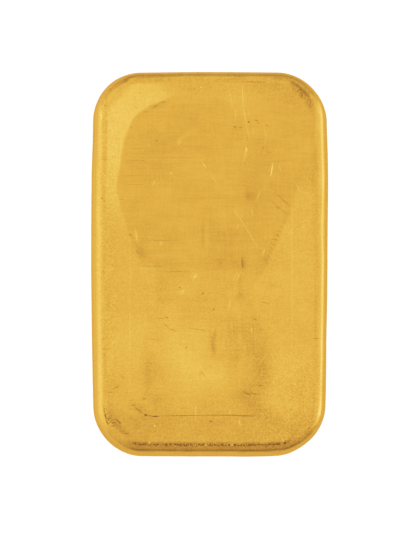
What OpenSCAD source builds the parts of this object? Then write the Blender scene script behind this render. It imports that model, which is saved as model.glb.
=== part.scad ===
// Cast gold bar of ten-tola size: one poured block with drafted walls, a
// softly rounded shoulder round its smaller face and a tight round round its
// larger one. It lies on the larger face, with the smaller one up.
// Millimetres. The origin is the middle of the face that it lies on, +Y runs
// along its length and +Z is up.

/* [Bar] */
// Overall length, along Y
length = 45; // [30:0.5:60]
// Overall width, along X
width = 27.7; // [18:0.1:40]
// Overall thickness, along Z
thickness = 5.12; // [4:0.01:12]

/* [Corners] */
// Radius of the four corners in plan, at their widest
corner_r = 5.7; // [4:0.1:8]

/* [Walls] */
// Lean of the walls, inwards as they rise, so that the bar leaves its mould
draft = 7.5; // [1:0.5:15]
// Radius of the edge between the walls and the face that the bar lies on
base_round = 0.8; // [0.3:0.1:1.2]
// Radius of the shoulder between the walls and the upper face
shoulder_round = 0.95; // [0.3:0.05:1.5]

/* [Hidden] */
$fn = 96;

// The corners turn about these points, which are also the core's corners.
corner_x = width / 2 - corner_r;
corner_y = length / 2 - corner_r;

// In the wall's section, x runs outwards from a corner's centre and y is up.
// Both round edges are circles that touch the drafted wall: the lower one sits
// at the widest point, and the upper one is as far in as the draft brings it.
base_centre = [corner_r - base_round, base_round];
shoulder_rise = thickness - shoulder_round - base_round;
shoulder_in = (shoulder_rise * sin(draft) + shoulder_round - base_round) / cos(draft);
shoulder_centre = [base_centre[0] - shoulder_in, thickness - shoulder_round];
wall_normal = [cos(draft), sin(draft)];

// Section of the rim, from a corner's centre out to the wall. A large round on
// a small corner stops at the centre, which a corner turns about.
module rim_section() {
    intersection() {
        union() {
            polygon([
                [0, 0],
                [base_centre[0], 0],
                base_centre + base_round * wall_normal,
                shoulder_centre + shoulder_round * wall_normal,
                [shoulder_centre[0], thickness],
                [0, thickness]
            ]);
            translate(base_centre) circle(r = base_round);
            translate(shoulder_centre) circle(r = shoulder_round);
        }
        square([corner_r, thickness]);
    }
}

// One corner, a quarter turn of the section from +X to +Y
module corner() {
    rotate_extrude(angle = 90) rim_section();
}

// A straight stretch of wall that faces +X, with the given half length
module wall(half_length) {
    translate([0, half_length, 0])
        rotate([90, 0, 0])
            linear_extrude(height = 2 * half_length) rim_section();
}

// The block inside the four corner centres
module core() {
    translate([-corner_x, -corner_y, 0])
        cube([2 * corner_x, 2 * corner_y, thickness]);
}

module ingot() {
    color([0.89, 0.69, 0.26])
        union() {
            core();
            for (turn = [0, 180]) rotate(turn) {
                translate([corner_x, 0, 0]) wall(corner_y);
                translate([0, corner_y, 0]) rotate(90) wall(corner_x);
                translate([corner_x, corner_y, 0]) corner();
                translate([-corner_x, corner_y, 0]) rotate(90) corner();
            }
        }
}

ingot();
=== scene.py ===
"""A small cast gold bar on a plain pale table, laid out as a Blender add-on and run as a script.

The bar is one closed surface worked out with numpy: a grid over each face, and rows that run round
the shoulder, the walls and the lower edge. Its dents, pits and grooves are moves along the surface's
normal, and its worn tone, its dirt, and the highlights and shade painted on its rim and shoulder are
attributes that the gold's nodes read.
"""

import math

import bpy
import numpy as np
from mathutils import Matrix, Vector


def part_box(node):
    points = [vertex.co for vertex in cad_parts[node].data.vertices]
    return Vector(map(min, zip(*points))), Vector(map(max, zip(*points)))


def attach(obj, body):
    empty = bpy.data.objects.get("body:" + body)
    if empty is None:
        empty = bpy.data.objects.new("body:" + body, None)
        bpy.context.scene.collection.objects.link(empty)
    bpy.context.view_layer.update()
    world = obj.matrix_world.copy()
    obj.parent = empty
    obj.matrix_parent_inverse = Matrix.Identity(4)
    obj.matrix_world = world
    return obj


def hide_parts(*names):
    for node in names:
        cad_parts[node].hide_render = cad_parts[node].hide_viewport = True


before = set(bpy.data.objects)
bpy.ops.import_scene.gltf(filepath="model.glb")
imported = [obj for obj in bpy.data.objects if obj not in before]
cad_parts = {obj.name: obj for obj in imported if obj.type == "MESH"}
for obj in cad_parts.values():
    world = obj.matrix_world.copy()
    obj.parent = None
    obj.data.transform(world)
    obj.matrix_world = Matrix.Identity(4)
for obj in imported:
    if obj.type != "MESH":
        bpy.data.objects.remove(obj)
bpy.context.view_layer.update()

bl_info = {
    "name": "Cast Gold Bar",
    "version": (1, 0, 0),
    "blender": (4, 5, 0),
    "location": "3D View > Sidebar > Gold Bar",
    "description": "Builds a worn cast gold bar and the soft light it is shown in",
    "category": "Add Mesh",
}

NODE = "ingot"
BODY = "root"
MM = 0.001

FACE_LOW, FACE_HIGH = (np.array(corner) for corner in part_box(NODE))
BAR_SIZE = FACE_HIGH - FACE_LOW
HALF_WIDE, HALF_LONG = BAR_SIZE[0] / 2, BAR_SIZE[1] / 2


def a_length(name, description, millimetres):
    """A length setting."""
    return bpy.props.FloatProperty(name=name, description=description, default=millimetres * MM,
                                   subtype="DISTANCE", unit="LENGTH")


def an_angle(name, description, degrees):
    """An angle setting."""
    return bpy.props.FloatProperty(name=name, description=description, default=math.radians(degrees),
                                   subtype="ANGLE", unit="ROTATION")


def a_share(name, description, default):
    """A setting that is a share, from 0 to 1."""
    return bpy.props.FloatProperty(name=name, description=description, default=default,
                                   min=0.0, max=1.0, subtype="FACTOR")


def a_colour(name, description, default):
    """A colour setting."""
    return bpy.props.FloatVectorProperty(name=name, description=description, default=default,
                                         subtype="COLOR")


class GoldBarShape(bpy.types.PropertyGroup):
    """Sizes of the bar's corners, edges and faces. Its overall size is the frame's."""

    corner_round: a_length("Corner radius", "Radius of the four corners in plan, at their widest", 5.7)
    draft: an_angle("Draft", "Lean of the walls, inwards as they rise", 7.5)
    base_round: a_length("Base round", "Radius of the edge between the walls and the face underneath", 0.8)
    shoulder_round: a_length("Shoulder round", "Radius between the walls and the upper face", 0.95)
    side_bow: a_length("Side bow", "How far a long side's middle stands out past its ends", 0.33)
    end_bow: a_length("End bow", "How far a short side's middle stands out past its ends", 0.14)
    taper: a_share("Taper", "Share of its width that the bar loses from its middle to its foot", 0.008)
    groove: a_length("Rim groove", "Depth of the groove between the shoulder and the upper face", 0.035)
    dish: a_length("Dish", "How far the upper face sinks below its rim", 0.04)
    shrinkage: a_length("Shrinkage", "How far the middle of the lower face drew in as the metal set", 0.09)


class GoldBarFinish(bpy.types.PropertyGroup):
    """Colours and gloss of the gold."""

    # The ramp runs from brown gold to bright gold. Besides the metal's tone, its dark end paints the shade
    # and its pale end the highlights laid across the rim and on the scratches.
    brown_gold: a_colour("Brown gold", "Colour where the metal is stained darkest", (0.30, 0.135, 0.023))
    deep_gold: a_colour("Deep gold", "Colour where the metal is dull", (0.52, 0.25, 0.041))
    mid_gold: a_colour("Mid gold", "Colour of most of the upper face", (0.755, 0.43, 0.061))
    pale_gold: a_colour("Pale gold", "Colour where the metal is rubbed bright", (0.86, 0.57, 0.105))
    bright_gold: a_colour("Bright gold", "Colour of fresh scratches", (0.93, 0.70, 0.22))
    edge_gold: a_colour("Edge gold", "Tint where the metal is seen along its surface", (0.90, 0.76, 0.40))
    # This colour is laid on where the shoulder turns into the wall: worn metal all round, and a painted
    # highlight that is strongest at the left.
    rubbed_and_highlight_gold: a_colour("Rubbed gold", "Colour where the shoulder turns into the wall", (0.80, 0.50, 0.12))
    # The dirt colour also paints the shade along the head and the foot and in the left crease.
    dirt_and_shade: a_colour("Soil", "Colour of the dirt in pits and along edges", (0.15, 0.062, 0.016))
    gloss: a_share("Roughness", "Roughness of the clean faces", 0.3)
    wall_rough: a_share("Wall roughness", "How much rougher the cast walls are than the faces", 0.25)


class GoldBarStage(bpy.types.PropertyGroup):
    """The table, the lights and the camera."""

    table_colour: a_colour("Table", "Colour of the table", (0.3, 0.3, 0.3))
    lens: bpy.props.FloatProperty(name="Lens", description="Focal length of the camera, in millimetres",
                                  default=200.0, subtype="DISTANCE_CAMERA", unit="CAMERA")
    view_long: a_length("View length", "Length on the bar that fills the long side of the frame", 62.2)
    tilt_foot: an_angle("Tilt to the foot", "How far the camera leans towards the bar's foot", 3.0)
    tilt_left: an_angle("Tilt to the left", "How far the camera leans towards the bar's left side", 1.7)


# ---------------------------------------------------------------- numbers and noise


def smooth(value, low, high):
    """Rises from 0 at low to 1 at high as 3t^2 - 2t^3, where t is the share of the way."""
    t = np.clip((value - low) / (high - low), 0.0, 1.0)
    return t * t * (3.0 - 2.0 * t)


def bell(value, centre, width):
    """A bump of height 1 at centre, exp of minus the squared distance in widths."""
    return np.exp(-(((value - centre) / width) ** 2))


def through(value, knots, heights):
    """A smooth curve through a few heights: between two knots it is the cubic whose end slopes are
    those of the line between each knot's neighbours."""
    knots, heights = np.asarray(knots, float), np.asarray(heights, float)
    slopes = np.gradient(heights, knots)
    value = np.clip(value, knots[0], knots[-1])
    left = np.clip(np.searchsorted(knots, value, side="right") - 1, 0, len(knots) - 2)
    span = knots[left + 1] - knots[left]
    t = (value - knots[left]) / span
    rise = t * t * (3 - 2 * t)
    curve = (1 - rise) * heights[left] + rise * heights[left + 1]
    return curve + span * t * (1 - t) * ((1 - t) * slopes[left] - t * slopes[left + 1])


def corner_hash(cell, seed):
    """A number from -1 to 1 for each whole-number cell, by mixing its three numbers' bits."""
    cell = cell.astype(np.uint64)
    mix = cell[..., 0] * np.uint64(73856093)
    mix ^= cell[..., 1] * np.uint64(19349663)
    mix ^= cell[..., 2] * np.uint64(83492791)
    mix ^= np.uint64(seed * 2654435761 % 2**32)
    mix = (mix ^ (mix >> np.uint64(13))) * np.uint64(1274126177)
    mix &= np.uint64(0xFFFFFFFF)
    mix = (mix ^ (mix >> np.uint64(16))) * np.uint64(2246822519)
    mix &= np.uint64(0xFFFFFFFF)
    return (mix >> np.uint64(8)).astype(float) / 2.0**23 - 1.0


def noise(points, cell, seed):
    """Soft noise from -1 to 1: a number at each corner of a cubic lattice, blended across its cells
    by the smooth step along each axis. cell is the lattice's pitch, one number or one for each axis."""
    place = points / cell + 1024.0
    floor = np.floor(place)
    part = place - floor
    part = part * part * (3.0 - 2.0 * part)
    total = np.zeros(len(points))
    for corner in np.ndindex(2, 2, 2):
        share = np.prod(np.where(corner, part, 1.0 - part), axis=1)
        total += share * corner_hash(floor + corner, seed)
    return total


def rough_noise(points, cell, seed, layers=3):
    """Layers of soft noise, each half as large and half as strong as the one before."""
    total = np.zeros(len(points))
    for layer in range(layers):
        total += noise(points, cell / 2.0**layer, seed + layer) / 2.0**layer
    return total / (2.0 - 0.5 ** (layers - 1))


# ---------------------------------------------------------------- the bar's surface

WIDE_CELLS = 184
LONG_CELLS = 296
SHOULDER_ROWS = 10
WALL_ROWS = 11
BASE_ROWS = 6
JOINING_STRIP = 0.5 * MM


def half_core(shape):
    """Half the width and length of the core rectangle, whose corners the bar's corners turn about."""
    return np.array([HALF_WIDE, HALF_LONG]) - shape.corner_round


def walk_round(shape, reach):
    """Points round the bar, anticlockwise from the middle of its lower left corner. Each side is half
    a corner, a straight and half a corner, and its points lie evenly along the outline whose corners
    have the radius reach. Gives the point of the core rectangle that each one looks out from, and the
    way that it looks."""
    core = half_core(shape)
    half_corner = reach * math.pi / 4
    origins, outwards = [], []
    for side in range(4):
        cells = (WIDE_CELLS, LONG_CELLS)[side % 2]
        straight = 2 * core[side % 2]
        facing = math.radians(90 * side - 90)
        ahead = np.array([-math.sin(facing), math.cos(facing)])
        out = np.array([math.cos(facing), math.sin(facing)])
        way = np.arange(cells) / cells * (straight + 2 * half_corner)
        turn = np.clip(way / half_corner, 0, 1) - 1
        turn += np.clip((way - half_corner - straight) / half_corner, 0, 1)
        angle = facing + turn * math.pi / 4
        along = np.clip(way - half_corner, 0, straight) - straight / 2
        origins.append(out * core[1 - side % 2] + along[:, None] * ahead)
        outwards.append(np.stack([np.cos(angle), np.sin(angle)], axis=1))
    return np.concatenate(origins), np.concatenate(outwards)


def rim_section(shape):
    """The rim's section from the upper face to the lower one: an arc round the shoulder, a straight
    wall and an arc round the base, which both touch the wall. Gives each row's distance from the
    corner's centre, its height and the angle of its normal above the table."""
    lean, base, shoulder = shape.draft, shape.base_round, shape.shoulder_round
    rise = BAR_SIZE[2] - shoulder - base
    base_x = shape.corner_round - base
    shoulder_x = base_x - (rise * math.sin(lean) + shoulder - base) / math.cos(lean)
    upper = np.linspace(math.pi / 2, lean, SHOULDER_ROWS + 1)
    lower = np.linspace(lean, -math.pi / 2, BASE_ROWS + 1)
    upper_arc = np.stack([shoulder_x + shoulder * np.cos(upper),
                          BAR_SIZE[2] - shoulder + shoulder * np.sin(upper), upper], axis=1)
    lower_arc = np.stack([base_x + base * np.cos(lower), base + base * np.sin(lower), lower], axis=1)
    share = np.linspace(0, 1, WALL_ROWS + 1)[1:-1, None]
    wall = upper_arc[-1] * (1 - share) + lower_arc[0] * share
    return np.concatenate([upper_arc, wall, lower_arc])


def edge_places(rows, columns):
    """Rows and columns of a grid's outermost points, anticlockwise from its lower left corner."""
    top, right = rows - 1, columns - 1
    row = np.concatenate([np.zeros(right), np.arange(top), np.full(right, top), np.arange(top, 0, -1)])
    column = np.concatenate([np.arange(right), np.full(top, right), np.arange(right, 0, -1), np.zeros(top)])
    return row.astype(int), column.astype(int)


def fill_outline(outline, rows, columns):
    """A grid of points inside a closed outline. Each point is the sum of the straight blends from left
    to right and from foot to head of the four sides, less the blend of the four corners."""
    grid = np.zeros((rows, columns, 2))
    edge_row, edge_column = edge_places(rows, columns)
    grid[edge_row, edge_column] = outline
    s = np.linspace(0, 1, columns)[None, :, None]
    t = np.linspace(0, 1, rows)[:, None, None]
    across = (1 - s) * grid[:, :1] + s * grid[:, -1:]
    along = (1 - t) * grid[:1] + t * grid[-1:]
    foot = (1 - s) * grid[:1, :1] + s * grid[:1, -1:]
    head = (1 - s) * grid[-1:, :1] + s * grid[-1:, -1:]
    inside = across + along - (1 - t) * foot - t * head
    inside[edge_row, edge_column] = outline
    return inside


def grid_faces(ids):
    """Four-sided faces between a grid's neighbours, each begun so that its first diagonal points at
    the nearest corner of the grid, where two edges of a face nearly line up."""
    rows, columns = ids.shape
    faces = np.stack([ids[:-1, :-1], ids[:-1, 1:], ids[1:, 1:], ids[1:, :-1]], axis=-1)
    row = np.arange(rows - 1)[:, None] < (rows - 1) / 2
    column = np.arange(columns - 1)[None, :] < (columns - 1) / 2
    faces = np.where((row == column)[..., None], faces, np.roll(faces, -1, axis=-1))
    return faces.reshape(-1, 4)


class BarMesh:
    """The bar before its wear: points, normals and faces, with where each point lies on the bar."""

    def __init__(self, shape):
        section = rim_section(shape)
        reach, height, lean = section.T
        origins, outwards = walk_round(shape, reach[0])
        count, rows = len(origins), len(section)

        rim = origins[None] + reach[:, None, None] * outwards[None]
        upper = fill_outline(rim[0], LONG_CELLS + 1, WIDE_CELLS + 1)
        lower_edge = (origins + (reach[-1] - JOINING_STRIP) * outwards)[::2]
        lower = fill_outline(lower_edge, LONG_CELLS // 2 + 1, WIDE_CELLS // 2 + 1)

        ring_ids = np.arange(rows * count).reshape(rows, count)
        edge = edge_places(LONG_CELLS + 1, WIDE_CELLS + 1)
        upper_ids = np.full(upper.shape[:2], -1)
        upper_ids[edge] = ring_ids[0]
        inner = upper_ids < 0
        upper_ids[inner] = rows * count + np.arange(inner.sum())
        lower_ids = rows * count + inner.sum() + np.arange(lower[..., 0].size).reshape(lower.shape[:2])
        low_ring = lower_ids[edge_places(*lower_ids.shape)]

        self.plan = np.concatenate([rim.reshape(-1, 2), upper[inner], lower.reshape(-1, 2)])
        faces_up = np.zeros((inner.sum(), 2))
        faces_down = np.zeros((lower_ids.size, 2))
        look = np.repeat(outwards[None], rows, axis=0).reshape(-1, 2)
        self.outward = np.concatenate([look, faces_up, faces_down])
        self.rise = np.concatenate([np.repeat(height, count), np.full(len(faces_up), BAR_SIZE[2]),
                                    np.zeros(len(faces_down))])
        self.lean = np.concatenate([np.repeat(lean, count), np.full(len(faces_up), math.pi / 2),
                                    np.full(len(faces_down), -math.pi / 2)])
        self.rim_points = rows * count

        around = np.stack([ring_ids[:-1], ring_ids[1:]], axis=-1)
        nearby = np.roll(around, -1, axis=1)
        walls = np.stack([around[..., 0], around[..., 1], nearby[..., 1], nearby[..., 0]], axis=-1)
        self.upper_faces = np.concatenate([grid_faces(upper_ids), walls.reshape(-1, 4)])
        self.lower_faces = grid_faces(lower_ids)[:, ::-1]
        last = ring_ids[-1]
        a0, a1, a2 = last[::2], last[1::2], np.roll(last[::2], -1)
        b0, b1 = low_ring, np.roll(low_ring, -1)
        self.joining_faces = np.concatenate([np.stack(three, axis=1) for three in
                                             ((a0, b0, a1), (a1, b0, b1), (a1, b1, a2))])

        # The flat layout: the upper face with the rim spread round it, and the lower face beside it.
        steps = np.hypot(np.diff(reach), np.diff(height))
        spread = reach[0] + np.concatenate([[0], np.cumsum(steps)])
        sheet = origins[None] + spread[:, None, None] * outwards[None]
        self.sheet = np.concatenate([sheet.reshape(-1, 2), upper[inner], lower.reshape(-1, 2)])

    def inset(self, shape):
        """How far each point is inside the outline, as a distance from a rectangle with round corners."""
        over = np.abs(self.plan) - half_core(shape)
        outside = np.hypot(*np.maximum(over, 0).T)
        return shape.corner_round - outside - np.minimum(over.max(axis=1), 0)

    def bearing(self, shape):
        """Which way each point faces, in degrees from +X towards +Y: away from the nearest side, or
        from the nearest corner's centre where it is outside the core rectangle both ways."""
        over = np.abs(self.plan) - half_core(shape)
        nearest = over >= over.max(axis=1, keepdims=True)
        away = np.where((over > 0).any(axis=1, keepdims=True), np.maximum(over, 0), nearest)
        return np.degrees(np.arctan2(*(away * np.sign(self.plan)).T[::-1])) % 360

    def points(self):
        """Every point of the plain bar, in metres."""
        return np.column_stack([self.plan, self.rise])

    def normals(self):
        """The way out of the plain bar at every point."""
        return np.column_stack([self.outward * np.cos(self.lean)[:, None], np.sin(self.lean)])


# Where the outline stands out from its plain shape, or falls short of it: the bearing in degrees from
# +X towards +Y, the spread in degrees, and how far out, in millimetres.
OUT_OF_TRUE = (
    (40, 15, 0.13), (70, 9, 0.06), (88, 20, 0.08), (120, 5, 0.08), (131, 7, -0.12), (283, 6, 0.04),
    (299, 7, -0.25), (328, 10, -0.06),
)


def bend_plan(points, shape):
    """Bows the sides and draws in the foot: a side's reach falls by its bow at the ends of the other
    axis, as the square of the way there, and the width falls evenly from the middle to the foot. Then
    the outline goes out of true by a bell for each bearing, which fades towards the middle."""
    x, y, z = points.T
    u, v = x / HALF_WIDE, y / HALF_LONG
    wide = (1 - shape.side_bow / HALF_WIDE * v**2) * (1 + shape.taper * v)
    widest = 1 + shape.taper**2 * HALF_WIDE / (4 * shape.side_bow)
    long = 1 - shape.end_bow / HALF_LONG * u**2
    plan = np.stack([x * wide / widest, y * long], axis=1)
    bearing = np.degrees(np.arctan2(y, x)) % 360
    near_edge = np.maximum(np.abs(u), np.abs(v)) ** 4
    away = sum(out * bell(bearing, middle, spread) for middle, spread, out in OUT_OF_TRUE) * MM
    length = np.maximum(np.hypot(*plan.T), MM)
    plan *= (1 + away * near_edge / length)[:, None]
    return np.column_stack([plan, z])


# ---------------------------------------------------------------- wear


# Places on the upper face are in millimetres on a sheet laid over the bar, across from its middle and
# along it. To fit the face, the sheet shrinks to this share and its middle moves here.
FACE_SHARE = 0.9875
FACE_MIDDLE = (-0.13, -0.25)

# Both sides of the worn patch, from its foot to its head: how far along the bar, and how far across.
PATCH_LEFT = (
    (-17.0, -14.1, -11.2, -7.7, -4.8, -2.4, -0.6, 0.5, 1.7, 4.9, 8.7, 12.2, 14.5, 16.4, 17.8, 18.8, 19.6),
    (-6.7, -7.3, -7.9, -7.1, -6.3, -6.0, -6.2, -7.6, -8.6, -9.9, -10.8, -10.4, -10.0, -9.3, -8.1, -6.5, -4.8),
)
PATCH_RIGHT = (
    (-17.1, -15.3, -13.0, -10.0, -7.7, -5.6, -3.6, -1.8, -0.4, 1.1, 2.8, 4.6, 6.3, 8.1, 10.1, 12.0),
    (5.5, 6.4, 7.0, 6.9, 6.2, 5.2, 4.9, 5.6, 6.6, 7.3, 8.3, 9.0, 9.7, 10.1, 10.8, 12.5),
)

# Rubbed and dull places on the upper face: across, along, half width, half length, turn in degrees,
# and the change of tone.
SMUDGES = (
    (-11.0, -4.8, 2.5, 1.5, 0, -0.07), (-11.6, 2.8, 1.5, 2.5, 0, -0.08),
    (-11.4, -14.1, 2.0, 1.3, 30, -0.15), (-12.0, -17.1, 1.2, 2.2, 25, -0.15),
    (-8.1, -18.8, 3.0, 1.5, 0, -0.08), (-9.3, -8.9, 2.5, 3.0, 0, 0.08), (-0.5, 16.9, 3.5, 3.0, 0, -0.05),
    (-2.3, 13.7, 3.0, 0.8, 0, -0.06), (-7.3, 12.8, 2.0, 1.5, 0, -0.05), (-5.8, 8.7, 1.5, 1.5, 0, 0.05),
    (-0.5, 11.0, 3.0, 1.5, 0, 0.05), (4.8, 8.1, 0.6, 0.6, 0, -0.2), (4.5, 9.3, 1.2, 2.5, 0, -0.07),
    (5.7, 8.7, 1.5, 3.5, 0, -0.06), (6.7, 13.4, 1.2, 1.2, 0, -0.07), (8.6, 10.4, 1.8, 3.0, 0, -0.05),
    (3.6, 19.8, 2.2, 2.2, 0, 0.08), (3.6, 18.0, 1.6, 1.6, 0, 0.06), (-7.5, 4.9, 2.5, 1.0, 0, -0.06),
    (-8.1, 1.1, 1.3, 0.6, -55, -0.2), (1.2, 3.8, 0.45, 1.2, 0, -0.1), (2.3, 3.4, 0.4, 1.2, 0, -0.1),
    (1.2, 0.3, 0.5, 1.0, 0, -0.12), (2.6, 0.3, 0.5, 0.8, 0, -0.08), (3.8, 0.2, 0.25, 1.0, 0, -0.2),
    (6.6, 0.4, 0.9, 0.8, 0, -0.14), (4.2, 0.1, 3.5, 0.5, 0, -0.06), (-1.7, -1.3, 0.6, 0.6, 0, 0.15),
    (-3.1, -3.0, 0.7, 0.7, 0, 0.12), (3.6, -3.9, 0.6, 0.6, 0, -0.18), (-1.1, -3.4, 0.5, 0.5, 0, -0.08),
    (1.8, -1.3, 1.5, 0.6, 0, 0.08), (-5.7, -4.2, 0.8, 3.0, 0, -0.06), (-2.3, -12.2, 2.6, 2.6, 0, 0.26),
    (-3.4, -9.2, 2.6, 2.4, 0, 0.18), (0.7, -13.6, 2.5, 1.3, 0, 0.14), (-4.6, -5.9, 1.3, 1.5, 0, 0.12),
    (-0.5, -8.3, 1.6, 2.0, 0, 0.1), (4.8, -8.9, 2.0, 3.5, 0, -0.1), (6.2, -12.4, 1.0, 2.5, 0, -0.2),
    (4.3, -15.0, 1.3, 1.3, 0, -0.2), (5.5, -16.6, 1.8, 1.0, -35, -0.2),
    (-7.3, -13.0, 0.7, 2.5, 0, -0.2), (-5.8, -12.4, 0.7, 0.7, 0, -0.1),
    (-8.3, -16.8, 1.2, 0.7, -40, -0.2), (-6.0, -15.9, 0.9, 0.9, 0, -0.12),
    (8.8, -12.4, 1.8, 2.5, 0, 0.12), (10.6, -15.0, 1.8, 2.0, 0, -0.12), (8.9, -17.1, 1.2, 1.2, 0, 0.08),
    (11.0, -19.4, 1.4, 0.9, 40, -0.12), (12.3, 7.5, 0.35, 9.0, 0, -0.12), (7.7, 21.0, 3.0, 0.8, 0, -0.08),
    (0.5, -9.3, 0.4, 1.6, 10, -0.18), (-1.1, 20.9, 10.0, 0.9, 0, -0.14),
    (-10.6, 19.8, 2.3, 0.32, 46, -0.3), (-11.4, 20.3, 1.3, 0.18, 46, 0.14),
    (11.3, 19.6, 1.7, 0.6, -50, -0.16), (10.5, 20.3, 0.8, 0.35, -40, -0.16),
    (11.9, 18.6, 0.8, 0.35, -60, -0.16), (9.7, 19.4, 0.8, 0.5, -40, -0.1),
    (-5.4, 18.9, 1.0, 0.25, 25, -0.12), (-3.0, 14.9, 1.3, 0.3, 35, 0.16),
    (7.6, -2.4, 1.0, 0.25, -8, -0.14), (-5.0, 0.0, 4.0, 0.25, 0, -0.05), (-1.0, 7.9, 4.0, 0.4, 0, -0.04),
    (-2.6, -4.1, 3.0, 0.3, 0, -0.06), (-10.2, -19.3, 1.7, 0.35, -42, -0.2),
    (-11.8, -17.8, 0.4, 1.8, 10, -0.16), (-9.8, -17.6, 1.4, 0.3, -35, -0.08),
)

# Where the face is rubbed along its length: laid out like the smudges, with shares from 0 to 1.
STROKES = (
    (1.2, 2.4, 2.4, 3.0, 0, 0.9), (2.8, -9.0, 2.2, 4.0, 0, 0.9), (3.6, -3.0, 1.6, 2.5, 12, 0.5),
    (-1.5, -11.0, 3.5, 3.5, 0, 0.4), (4.0, 15.5, 1.6, 4.5, 0, 0.4), (-0.5, 3.0, 1.5, 1.5, 0, 0.5),
)

# Dirt that breaks up into grains: across, along, half width, half length, turn, and how much.
GRIT = (
    (-12.0, -17.3, 0.6, 1.9, 8, 0.44), (-10.9, -18.6, 1.4, 0.7, -25, 0.44),
    (-9.7, -19.7, 0.9, 0.35, -20, 0.42), (-11.6, -14.6, 0.9, 0.5, 15, 0.34),
    (-8.5, -16.7, 0.9, 0.5, -40, 0.42), (10.7, 20.2, 1.2, 0.55, -44, 0.52),
    (11.9, 18.9, 0.9, 0.5, -55, 0.48), (9.8, 19.4, 0.6, 0.3, -30, 0.3),
    (-12.2, 18.6, 0.25, 0.6, -20, 0.42), (-11.2, 20.7, 1.3, 0.2, 45, 0.54),
    (6.3, -16.0, 1.8, 1.6, 0, 0.26), (8.6, -18.5, 2.0, 1.2, 0, 0.28), (3.2, 21.55, 0.9, 0.15, 0, 0.36),
    (9.9, -20.2, 0.3, 0.5, 20, 0.45), (11.7, -19.2, 0.3, 0.4, -40, 0.5), (-11.8, 6.0, 0.9, 9.0, 0, 0.22),
    (7.6, 2.7, 0.7, 1.4, -35, 0.36), (-3.0, -8.6, 3.0, 2.0, 0, 0.2),
)

# Bright grains, where the metal's own grains catch the light.
GLINTS = (
    (12.6, 0.0, 0.35, 13.0, 0, 0.36), (9.5, -16.5, 2.6, 2.6, 0, 0.34), (-3.6, 21.5, 0.5, 0.25, 0, 0.42),
    (0.5, -21.1, 9.5, 0.35, 0, 0.5), (7.4, 21.5, 0.4, 0.15, 0, 0.5), (-11.6, 6.0, 0.8, 12.0, 0, 0.24),
    (5.0, -19.5, 5.0, 1.6, 0, 0.22), (-11.0, 20.3, 1.2, 0.25, 47, 0.36), (2.3, 11.6, 0.4, 0.3, 0, 0.4),
)

# Tone across the rim at eight bearings, 45 degrees apart from +X towards +Y, with the rim's highlights
# and shade painted into it: the plain tone, then the bands along the rim, each with how far its middle
# is inside the outline and its half width, in millimetres, and its change of tone.
RIM_LIGHT_BANDS = (
    (0.45, (0.87, 0.14, 0.85), (1.2, 0.3, 0.25)),  # right side: a painted highlight line
    (0.45, (0.8, 0.1, -0.16), (1.6, 0.75, -0.28)),
    (0.47, (0.73, 0.14, -0.38), (1.1, 0.12, 0.08)),  # head: painted shade under the shoulder
    (0.42, (0.85, 0.12, -0.05), (1.42, 0.28, 0.3)),
    (0.58, (0.42, 0.12, 0.2), (0.93, 0.34, 0.39)),  # left side: a broad painted highlight
    (0.46, (0.6, 0.1, -0.1), (1.1, 0.1, -0.12)),
    (0.51, (0.73, 0.15, -0.7), (1.1, 0.24, -0.46), (1.52, 0.24, -0.55)),  # foot: painted shade under the shoulder, and darker over the dirty pits
    (0.45, (0.7, 0.16, -0.38), (1.15, 0.3, -0.24)),
)

# Stains that lie across the rim and the face along the head's shoulder, along the foot and round the two
# corners at the right, and a few painted highlight lines at those corners. Laid out like the smudges.
STAINS = (
    (-7.2, 22.0, 2.3, 0.16, 2, -0.36), (-9.9, 21.5, 1.0, 0.16, 34, -0.46),
    (8.0, 21.95, 1.0, 0.2, -6, -0.55), (9.9, 21.35, 1.2, 0.13, -34, -0.65),
    (11.0, 20.4, 0.8, 0.13, -44, -0.55), (3.8, 22.05, 0.6, 0.15, 0, -0.25),
    (-8.6, -21.75, 1.0, 0.14, -8, -0.25), (-2.6, -21.9, 0.5, 0.14, 0, -0.3),
    (3.9, -21.9, 0.6, 0.16, 0, -0.35), (6.6, -21.9, 1.5, 0.14, 0, -0.3),
    (9.7, -21.2, 1.3, 0.18, 28, -0.36), (11.7, -19.7, 1.0, 0.16, 50, -0.32),
    (12.0, 19.75, 0.25, 0.12, -50, 0.55), (12.6, 18.6, 0.8, 0.11, -70, 0.45),
    (12.8, -17.3, 1.2, 0.12, 79, 0.45), (12.2, -18.8, 0.8, 0.12, 58, 0.4),
    (9.0, -21.3, 0.8, 0.14, 10, -0.2), (-9.6, -21.0, 0.9, 0.14, -14, -0.25),
)
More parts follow.
